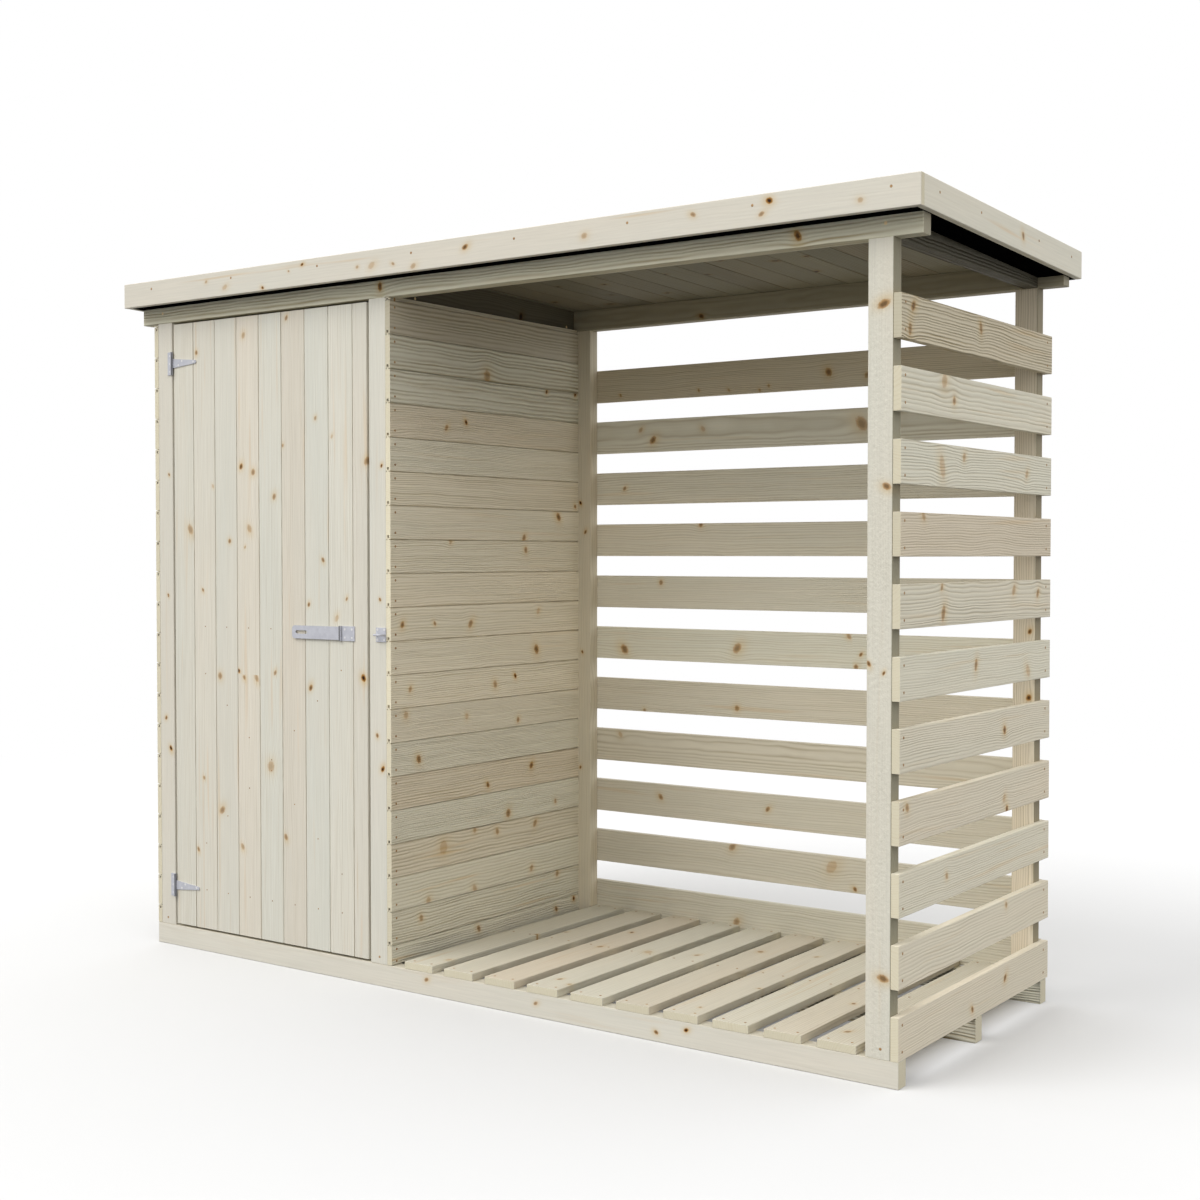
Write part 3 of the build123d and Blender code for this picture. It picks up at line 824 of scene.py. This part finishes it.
def roofSlope(node):
    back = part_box(node)[1].y

    def bend(point):
        x, y, z = point
        return (x, y, z + (back - y) * roofFall)

    return bend


boardedPanel("left_cladding", "wall_boards", wallLook, "y", "z", wallFirst, 200, tongueHigh=False)
boardedPanel("divider_cladding", "wall_boards", dividerLook, "y", "z", wallFirst, 201, faceHigh=True)
boardedPanel("back_cladding", "wall_boards", wallLook, "x", "z", wallFirst, 202, faceHigh=True)
boardedPanel("door_boards", "wall_boards", doorLook, "z", "x", doorFirst, 203, body="door")
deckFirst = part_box("roof_deck")[0].x + deckLook["cover"]
boardedPanel("roof_deck", "roof_boards", deckLook, "y", "x", deckFirst, 204, bend=roofSlope("roof_deck"),
             thick=deckLook["thick"])
print("boarded panels ready")


# Slats, fascias and eaves battens

slatLook = {"plank": 72 * mm, "flat": 0.35, "spacing": 6.4 * mm, "tint": 0.42, "tintSpread": 0.2,
            "light": 1.0, "lightSpread": 0.02, "relief": 1.0, "contrast": 0.36, "knotRate": 2.0,
            "edge": 0.8 * mm, "width": 72.2 * mm, "peel": 0.1, "streak": 0.3}
slatCounts = {"side_slats": 11, "back_slats": 11, "bay_floor_slats": 10, "shed_floor_slats": 6}
# painted light and shade: side slats lightened, their top edges darkened by sideLight
sideLook = {**slatLook, "light": 1.08, "flat": 0, "relief": 0.4, "contrast": 0.22, "spacing": 4.3 * mm,
            "warm": 0.3, "tintSpread": 0.03, "tall": 1.4, "sideLight": 0.9, "endLight": 0.94}
sideLook["knots"] = {
    0: [(0.675, 0.61, 5, 0.5, 1.4), (0.45, 0.27, 4, 0.5)],
    1: [(0.68, 0.85, 4, 0.15)],
    2: [(0.28, 0.56, 4, 0.15)],
    3: [(0.043, 0.83, 5, 0.25), (0.68, 0.07, 4.5, 0.7), (0.66, 0.36, 5, 0)],
    4: [(0.66, 0.47, 5.5, 0.6)],
    5: [(0.46, 0.6, 5, 0.3, 2), (0.83, 0.27, 7, 0, 1.5)],
    6: [(0.24, 0.91, 4, 0.2), (0.25, 0.3, 6, 0.3, 2.1), (0.72, 0.76, 6, 0.1, 1.5), (0.9, 0.65, 5, 0.3, 1.5)],
    7: [(0.13, 0.92, 5, 0.1)],
    8: [(0.24, 0.47, 8, 0, 2.2), (0.375, 0.75, 5, 0.1), (0.81, 0.5, 5, 0.05, 1.5)],
    9: [(0.25, 0.85, 8, 0.05), (0.31, 0.43, 5, 0.3)],
    10: [(0.064, 0.76, 6, 0.5), (0.046, 0.23, 5, 0.3, 2), (0.48, 0.69, 5, 0.3, 2)],
}
sideTints = (0.7, 0.65, 0.35, 0.7, 0.5, 0.25, 0.45, 1.0, 0.2, 0.25, 0.75)
sideLook["owns"] = {index: {"tint": tint} for index, tint in enumerate(sideTints)}
sideFigures = {6: (0.6, 0.3, 5.5), 8: (0.8, 0.35, 5.5), 9: (0.9, 0.4, 6), 10: (1.5, 0.9, 6.4)}  # rougher
for index, (relief, contrast, spacing) in sideFigures.items():
    sideLook["owns"][index].update({"relief": relief, "contrast": contrast, "spacing": spacing * mm})
sideLook["owns"][7].update({"light": 1.0, "contrast": 0.4, "spacing": 5 * mm})
# painted light and shade: the top slat darker and warmer, the two lowest lighter
sideLook["owns"][10].update({"light": 0.86, "warm": 0.55})
for index in (0, 1):
    sideLook["owns"][index]["light"] = 1.14
backLook = {**slatLook, "relief": 0.4, "contrast": 0.36, "spacing": 4.6 * mm, "light": 1.02, "warm": 0.28,
            "flat": 0.1, "tintSpread": 0.15, "tall": 1.4}
backLook["knots"] = {
    0: [(0.38, 0.29, 6, 0.25)],
    1: [(0.37, 0.93, 6, 0.25), (0.59, 0.68, 9, 0), (0.64, 0.12, 3.5, 0.5)],
    2: [(0.2, 0.61, 4.5, 0.4), (0.45, 0.56, 4, 0.4)],
    3: [(0.1, 0.84, 4, 0)],
    4: [(0.38, 0.28, 4.5, 0.3), (0.16, 0.04, 3, 0.2)],
    5: [(0.11, 0.31, 7.5, 0.45), (0.38, 0.47, 7.5, 0.35), (0.65, 0.42, 3, 0.5), (0.64, 0.05, 4, 0.4),
        (0.625, 0.93, 4, 0.2)],
    6: [(0.2, 0.8, 4, 0.3)],
    7: [(0.295, 0.96, 4, 0.4)],
    8: [(0.11, 0.5, 3.5, 0.3), (0.84, 0.5, 4, 0.7)],
    9: [(0.18, 0.36, 6, 0.5), (0.65, 0.55, 10, 0.3), (0.15, 0.69, 4, 0.1), (0.3, 0.63, 4, 0)],
    10: [(0.58, 0.46, 6, 0.5), (0.1, 0.19, 2.5, 0.2), (0.29, 0.18, 2.5, 0.2), (0.36, 0.13, 2.5, 0.1),
         (0.43, 0.07, 2.5, 0.1), (0.45, 0.18, 2.5, 0.1), (0.66, 0.3, 4, 0.2)],
}
# painted light and shade: back slats darker near the floor and at the top, lighter between
backLook["owns"] = {index: {"light": 0.82 + 0.04 * index} for index in range(4)}
backLook["owns"].update({index: {"light": 1.12} for index in range(5, 10)})
backLook["owns"][10] = {"light": 0.9, "tint": 0.9, "warm": 0.6}
# painted shade: the bay's floor slats under the roof are darker and warmer
floorLook = {**slatLook, "relief": 0.3, "contrast": 0.22, "spacing": 4.5 * mm, "light": 0.9, "warm": 0.2,
             "flat": 0, "tintSpread": 0.15, "endLight": 1.1}
floorLook["knots"] = {
    0: [(0.09, 0.88, 5, 0), (0.51, 0.97, 3, 0.5)],
    1: [(0.59, 0.1, 3, 0.4)],
    2: [(0.49, 0.58, 5, 0.3), (0.71, 0.3, 4, 0.8)],
    3: [(0.1, 0.4, 4, 0.5), (0.07, 0.92, 4, 0.1), (0.52, 0.63, 8, 0)],
    4: [(0.57, 0.54, 4.5, 0.3)],
    5: [(0.72, 0.38, 6, 0.25)],
    6: [(0.08, 0.62, 3, 0.2), (0.76, 0.54, 4, 0.3), (0.34, 0.92, 3, 0.3)],
    8: [(0.35, 0.74, 4, 0.4)],
    9: [(0.1, 0.32, 5, 0.3)],
}
floorLook["owns"] = {2: {"tint": 0.9, "tintSpread": 0.03}}
shedFloorLook = {**slatLook, "relief": 0.35, "contrast": 0.2}


def slatStarts(node, axis):  # where each slat of a set begins
    low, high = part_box(node)
    pitch = (high[axis] - low[axis] - slatLook["width"]) / (slatCounts[node] - 1)
    return [low[axis] + index * pitch for index in range(slatCounts[node])]


def slatSet(node, look, along, across, seed):
    timber = Timber(node + "_set", "slat_timber", look, seed)
    knots, owns = look.get("knots"), look.get("owns", {})
    low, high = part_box(node)
    j = axisNames.index(across)
    for index, start in enumerate(slatStarts(node, j)):
        slatLow, slatHigh = low.copy(), high.copy()
        slatLow[j] = start
        slatHigh[j] = slatLow[j] + look["width"]
        spots = knots.get(index, []) if knots else None
        timber.board(slatLow, slatHigh, along, across, spots, own=owns.get(index))
    timber.build("store", node)


slatSet("side_slats", sideLook, "y", "z", 300)
slatSet("back_slats", backLook, "x", "z", 301)
slatSet("bay_floor_slats", floorLook, "y", "x", 302)
slatSet("shed_floor_slats", shedFloorLook, "y", "x", 303)

fasciaLook = {**frameLook, "plank": 52 * mm, "relief": 0.03, "contrast": 0.04, "tint": 0.25, "flat": 0,
              "light": 1.0, "streak": 0.45}
fasciaKnots = [(0.23, 0.11, 3, 0.9), (0.29, 0.81, 3, 0.9), (0.17, 0.33, 5, 0), (0.14, 0.65, 3, 0.1),
               (0.27, 0.62, 2, 0.2), (0.37, 0.42, 3, 0.1), (0.39, 0.41, 6, 0), (0.42, 0.36, 3, 0.2),
               (0.447, 0.18, 5, 0.1), (0.515, 0.61, 5, 0.7), (0.66, 0.43, 5, 0.1), (0.78, 0.64, 4, 0.3),
               (0.858, 0.75, 5, 1.0), (0.85, 0.36, 4, 0.3), (0.945, 0.38, 4, 0.05)]
straightTimber("front_fascia", "fascia_timber", fasciaLook, "x", "z", 310, knots=fasciaKnots)


def slopedTimber(timber, node, along, x, y, depth, knots=None):
    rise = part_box(node)[0].z
    low, high = Vector((x[0], y[0], rise)), Vector((x[1], y[1], rise + depth))
    timber.board(low, high, along, "z", knots, bend=roofSlope(node))


# painted light: the end fascias are lightened on their sides
endFasciaLook = {**fasciaLook, "light": 1.06, "warm": 0.15, "depth": 52.1 * mm,
                 "knots": [(0.58, 0.54, 4.5, 0.4, 1.5)]}
for seed, node in enumerate(("left_fascia", "right_fascia"), 311):
    look = endFasciaLook
    low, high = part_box(node)
    timber = Timber(node + "_timber", "fascia_timber", look, seed)
    slopedTimber(timber, node, "y", (low.x, high.x), (low.y, high.y), look["depth"], look["knots"])
    timber.build("store", node)

battenDepth = 24.7 * mm
battenLow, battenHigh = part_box("eaves_battens")
frontHeader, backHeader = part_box("front_header"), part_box("back_header")
leftRafter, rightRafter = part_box("left_rafter"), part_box("right_rafter")
fullLength = (battenLow.x, battenHigh.x)
between = (frontHeader[1].y, backHeader[0].y)
battenRuns = (
    ("x", fullLength, (battenLow.y, frontHeader[0].y)),
    ("x", fullLength, (backHeader[1].y, battenHigh.y)),
    ("y", (battenLow.x, leftRafter[0].x), between),
    ("y", (rightRafter[1].x, battenHigh.x), between),
)
battens = Timber("eaves_battens_set", "frame_timber", frameLook, 320)
for along, x, y in battenRuns:
    slopedTimber(battens, "eaves_battens", along, x, y, battenDepth)
battens.build("store", "eaves_battens")
print("slats and fascias ready")


# Door ledges and braces

for seed, node in enumerate(("top_ledge", "middle_ledge", "bottom_ledge"), 330):
    straightTimber(node, "frame_timber", frameLook, "x", "z", seed, body="door")


def keepLeft(outline, start, end):  # the part of an outline to the left of a line
    def side(point):
        return (end[0] - start[0]) * (point[1] - start[1]) - (end[1] - start[1]) * (point[0] - start[0])

    kept = []
    for here, there in zip(outline, outline[1:] + outline[:1]):
        a, b = side(here), side(there)
        if a >= 0:
            kept.append(here)
        if a * b < 0:
            share = a / (a - b)
            kept.append((here[0] + (there[0] - here[0]) * share, here[1] + (there[1] - here[1]) * share))
    return kept


braceWidth = 45 * mm
braceLow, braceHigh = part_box("long_brace")
panel = [(braceLow.x, braceLow.z), (braceHigh.x, braceLow.z),
         (braceHigh.x, braceHigh.z), (braceLow.x, braceHigh.z)]


def shifted(start, end, out):  # a line moved to its left
    length = math.dist(start, end)
    x, z = (start[1] - end[1]) / length * out, (end[0] - start[0]) / length * out
    return (start[0] + x, start[1] + z), (end[0] + x, end[1] + z)


def braceStrip(start, end):
    lower, upper = shifted(start, end, -braceWidth / 2), shifted(start, end, braceWidth / 2)
    return keepLeft(keepLeft(panel, *lower), upper[1], upper[0]), lower, upper


falling, fallLower, fallUpper = braceStrip(panel[3], panel[1])
rising = braceStrip(panel[0], panel[2])[0]
braceThick = braceHigh.y - braceLow.y
longBrace = Timber("long_brace_timber", "frame_timber", frameLook, 340)
longBrace.slab(falling, panel[3], panel[1], braceHigh.y, braceThick)
longBrace.build("door", "long_brace")
splitBrace = Timber("split_brace_timber", "frame_timber", frameLook, 341)
for line in (fallUpper, fallLower[::-1]):  # one part on each side of the long brace
    splitBrace.slab(keepLeft(rising, *line), panel[0], panel[2], braceHigh.y, braceThick)
splitBrace.build("door", "split_brace")
print("door ledges and braces ready")


# Nail heads, screw heads and plugs

class Studs:  # round heads collected into one piece
    def __init__(self, name, look):
        self.name, self.look = name, look
        self.points, self.faces = [], []

    def head(self, x, y, z, outward):
        axis = axisNames.index(outward[1])
        sign = 1 if outward[0] == "+" else -1
        first, second = [n for n in range(3) if n != axis]
        start, sides = len(self.points), self.look["sides"]
        rings = headProfile
        for share, rise in rings:
            for n in range(sides):
                turn = 2 * math.pi * n / sides
                point = [x, y, z]
                point[first] += math.cos(turn) * share * self.look["radius"]
                point[second] += math.sin(turn) * share * self.look["radius"]
                point[axis] += sign * rise * self.look["rise"]
                self.points.append(point)
        faces = [list(range(sides))[::-1], [(len(rings) - 1) * sides + n for n in range(sides)]]
        for r in range(len(rings) - 1):
            for n in range(sides):
                m = (n + 1) % sides
                faces.append([r * sides + n, r * sides + m, (r + 1) * sides + m, (r + 1) * sides + n])
        flip = (axis == 1) != (sign < 0)
        self.faces += [[start + c for c in (face[::-1] if flip else face)] for face in faces]

    def build(self, body, finish, slot):
        mesh = bpy.data.meshes.new(self.name)
        mesh.from_pydata(self.points, [], self.faces)
        mesh.materials.append(finish)
        addPiece(self.name, mesh, body, slot)


nailPlaces = {
    "wallShare": 0.3,     # from a board's middle, as a share of its width
    "slatOff": 22 * mm,   # from a slat's middle
    "shedFront": -300 * mm,
    "fascia": [(-860 + 251.4 * step) * mm for step in range(8)],
    "fasciaRise": 35 * mm,
    "endFascia": (-294 * mm, -125 * mm, 140 * mm, 309 * mm),
    "endFasciaRise": 33 * mm,
    "posts": ((-868, 59), (-860, 775), (-232, 59), (-227, 775), (868, 62)),  # mm
    "doorBoards": 7,      # boards with brace nails, and of those with nails in the middle ledge
    "ledgeBoards": 4,
}


def wallNails(studs, node, outward, places):  # two nails in each board at each place along it
    low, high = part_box(node)
    face = high if outward[0] == "+" else low
    lines = jointLines(low.z, high.z, wallFirst, wallLook["cover"])
    for start, end in zip(lines, lines[1:]):
        middle, off = (start + end) / 2, (end - start) * nailPlaces["wallShare"]
        for place in places:
            for z in (middle - off, middle + off):
                spot = (place, face.y, z) if outward[1] == "y" else (face.x, place, z)
                studs.head(*spot, outward)


def slatNails(studs, node, outward, places):
    high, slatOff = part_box(node)[1], nailPlaces["slatOff"]
    for start in slatStarts(node, 0 if outward == "+z" else 2):
        middle = start + slatLook["width"] / 2
        for place in places:
            for off in (middle - slatOff, middle + slatOff):
                spots = {"+x": (high.x, place, off), "+y": (place, high.y, off), "+z": (off, place, high.z)}
                studs.head(*spots[outward], outward)


def middleOf(node):
    low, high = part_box(node)
    return (low + high) / 2


frontNail, backNail = middleOf("front_bearer").y, middleOf("back_bearer").y
bearerLines = [frontNail, middleOf("middle_bearer").y, backNail]
backWallPosts = [middleOf(node).x for node in ("back_left_post", "shed_back_post")]
backBayPosts = [middleOf(node).x for node in ("bay_back_post", "back_right_post")]
storeNails = Studs("store_nails", nailLook)
wallNails(storeNails, "divider_cladding", "+x", [frontNail])
wallNails(storeNails, "left_cladding", "-x", [frontNail, backNail])
wallNails(storeNails, "back_cladding", "+y", backWallPosts)
slatNails(storeNails, "side_slats", "+x", [frontNail, backNail])
slatNails(storeNails, "back_slats", "+y", backBayPosts)
slatNails(storeNails, "bay_floor_slats", "+z", bearerLines)
slatNails(storeNails, "shed_floor_slats", "+z", [nailPlaces["shedFront"]] + bearerLines[1:])
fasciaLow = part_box("front_fascia")[0]
for x in nailPlaces["fascia"]:
    storeNails.head(x, fasciaLow.y, fasciaLow.z + nailPlaces["fasciaRise"], "-y")
for node, outward in (("left_fascia", "-x"), ("right_fascia", "+x")):
    low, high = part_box(node)
    for y in nailPlaces["endFascia"]:
        z = low.z + (high.y - y) * roofFall + nailPlaces["endFasciaRise"]
        storeNails.head(low.x if outward == "-x" else high.x, y, z, outward)
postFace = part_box("front_left_post")[0].y
for x, z in nailPlaces["posts"]:
    storeNails.head(x * mm, postFace, z * mm, "-y")
storeNails.build("store", nailSteel, "zinc_hardware")

doorNails = Studs("door_nails", {**nailLook, "radius": 1.5 * mm})
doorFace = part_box("door_boards")[0].y
fall = (braceHigh.z - braceLow.z) / (braceHigh.x - braceLow.x)
for n in range(nailPlaces["doorBoards"]):
    x = doorFirst + wallLook["cover"] * (n + 0.5)
    drop = (x - braceLow.x) * fall
    rises = [middleOf("bottom_ledge").z, braceHigh.z - drop, braceLow.z + drop]
    if n < nailPlaces["ledgeBoards"]:
        rises.append(middleOf("middle_ledge").z)
    for z in rises:
        doorNails.head(x, doorFace, z, "-y")
doorNails.build("door", nailSteel, "zinc_hardware")

screwPlaces = {  # x, and z or the rise from the hinge's middle, in mm
    "leaf": [(-847.6, off) for off in (-17.3, 0, 17.3)],
    "strap": [(-808.7, 4), (-819.9, -4.6), (-772, 0)],
    "staple": [(x, z) for x in (-233, -215) for z in (695.8, 716.2)],
    "hasp": [(x, z) for x in (-322.5, -303) for z in (697.5, 714.5)],
    "plateThick": 2,
}
leafScrews, doorScrews = Studs("store_screws", screwLook), Studs("door_screws", screwLook)
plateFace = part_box("upper_hinge_leaf")[1].y - screwPlaces["plateThick"] * mm  # the front of the plates
screwRows = []
for node in ("upper_hinge_leaf", "lower_hinge_leaf"):
    screwRows += [(leafScrews, "leaf", middleOf(node).z), (doorScrews, "strap", middleOf(node).z)]
screwRows += [(leafScrews, "staple", 0), (doorScrews, "hasp", 0)]
for screws, row, rise in screwRows:
    for x, z in screwPlaces[row]:
        screws.head(x * mm, plateFace, rise + z * mm, "-y")
screwSteel = screwFinish()
leafScrews.build("store", screwSteel, "zinc_hardware")
doorScrews.build("door", screwSteel, "zinc_hardware")

plugPlaces = {"header": (-872.5 * mm, 871 * mm), "headerRise": 1397.3 * mm,
              "rafter": (-235 * mm, 280 * mm), "rafterRise": 1383 * mm}
plugs = Studs("header_plugs", plugLook)
for x in plugPlaces["header"]:
    plugs.head(x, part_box("front_header")[0].y, plugPlaces["headerRise"], "-y")
for y in plugPlaces["rafter"]:
    plugs.head(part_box("middle_rafter")[1].x, y, plugPlaces["rafterRise"], "+x")
plugs.build("store", plugFinish(), "frame_timber")
print("nails:", len(storeNails.faces) + len(doorNails.faces), "faces")


# Hardware and felt keep their CAD shapes

for node in ("upper_hinge_leaf", "lower_hinge_leaf", "upper_hinge_strap", "lower_hinge_strap",
             "hasp_plate", "hasp_flap", "hasp_staple"):
    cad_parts[node].material_slots[0].material = zinc
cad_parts["roof_felt"].material_slots[0].material = felt
print("hardware dressed")


# Floor, light and camera

stageLook = {
    "floor": (0.735, 0.735, 0.735, 1),   # as the camera sees it
    "bounce": (0.13, 0.13, 0.13, 1),     # as the object is lit by it
    "size": 30.0, "clearFrom": 1.6, "clearTo": 4.4,  # where the floor fades to white
    "white": (1, 1, 1, 1), "dome": 1.08, "zenith": 0.12,
}


def seenRay(f):  # camera, glossy and transmission rays see the plain background
    path = f.add("ShaderNodeLightPath").socket.node.outputs
    rays = [Wire(f, path[name]) for name in ("Is Camera Ray", "Is Glossy Ray", "Is Transmission Ray")]
    return f.add("ShaderNodeMath", {"operation": "MINIMUM"}, {0: rays[0] + rays[1] + rays[2], 1: 1.0})


def floorFinish():
    f = newFinish("pale_floor")
    x, y, z = f.split(f.add("ShaderNodeNewGeometry", {}, {}, "Position"))
    away = (x * x + y * y) ** 0.5
    seen = seenRay(f)
    bounce = f.add("ShaderNodeBsdfDiffuse", {}, {"Color": stageLook["bounce"]})
    shown = f.add("ShaderNodeBsdfDiffuse", {}, {"Color": stageLook["floor"]})
    plain = f.add("ShaderNodeMixShader", {}, {0: seen, 1: bounce, 2: shown})
    white = f.add("ShaderNodeEmission", {}, {"Color": stageLook["white"], "Strength": 1.0})
    mask = f.smooth(away, stageLook["clearFrom"], stageLook["clearTo"]) * seen
    return f.surface(f.add("ShaderNodeMixShader", {}, {0: mask, 1: plain, 2: white}))


def makeFloor():
    half = stageLook["size"] / 2
    mesh = bpy.data.meshes.new("floor")
    corners = [(-half, -half, 0), (half, -half, 0), (half, half, 0), (-half, half, 0)]
    mesh.from_pydata(corners, [], [(0, 1, 2, 3)])
    mesh.materials.append(floorFinish())
    floor = bpy.data.objects.new("floor", mesh)
    bpy.context.scene.collection.objects.link(floor)


def makeWorld():  # a soft dome, brighter overhead
    world = bpy.data.worlds.new("studio")
    f = Finish(world)
    rise = f.split(f.add("ShaderNodeTexCoord", {}, {}, "Generated"))[2]
    levels = (stageLook["dome"], stageLook["dome"] + stageLook["zenith"], 1.0)
    low, high, plain = [f.add("ShaderNodeBackground", {}, {"Color": stageLook["white"], "Strength": level})
                        for level in levels]
    dome = f.add("ShaderNodeMixShader", {}, {0: rise, 1: low, 2: high})
    f.surface(f.add("ShaderNodeMixShader", {}, {0: seenRay(f), 1: dome, 2: plain}))
    bpy.context.scene.world = world


softboxLook = {"turn": -34.0, "rise": 45.0, "spread": 36.0, "level": 0.42, "distance": 5}


def makeLamp(name, look):
    lamp = bpy.data.lights.new(name, "SUN")
    lamp.angle, lamp.energy = math.radians(look["spread"]), look["level"] * math.pi
    light = bpy.data.objects.new(name, lamp)
    turn, rise = math.radians(look["turn"]), math.radians(look["rise"])
    toward = Vector((math.sin(turn) * math.cos(rise), -math.cos(turn) * math.cos(rise), math.sin(rise)))
    light.location = toward * look["distance"]
    light.rotation_euler = (-toward).to_track_quat("-Z", "Y").to_euler()
    bpy.context.scene.collection.objects.link(light)


cameraLook = {"place": (2.0507, -2.7840, 0.8659), "tilt": 90 - 1.5587, "turn": 35.285, "lens": 50.04,
              "sensor": 36.0}


def makeCamera():
    camera = bpy.data.cameras.new("camera")
    camera.lens, camera.sensor_width = cameraLook["lens"], cameraLook["sensor"]
    eye = bpy.data.objects.new("camera", camera)
    eye.location = cameraLook["place"]
    eye.rotation_euler = (math.radians(cameraLook["tilt"]), 0, math.radians(cameraLook["turn"]))
    bpy.context.scene.collection.objects.link(eye)
    bpy.context.scene.camera = eye


makeFloor()
makeWorld()
makeLamp("softbox", softboxLook)
makeCamera()
bpy.context.scene.view_settings.view_transform = "Standard"
print("stage ready")
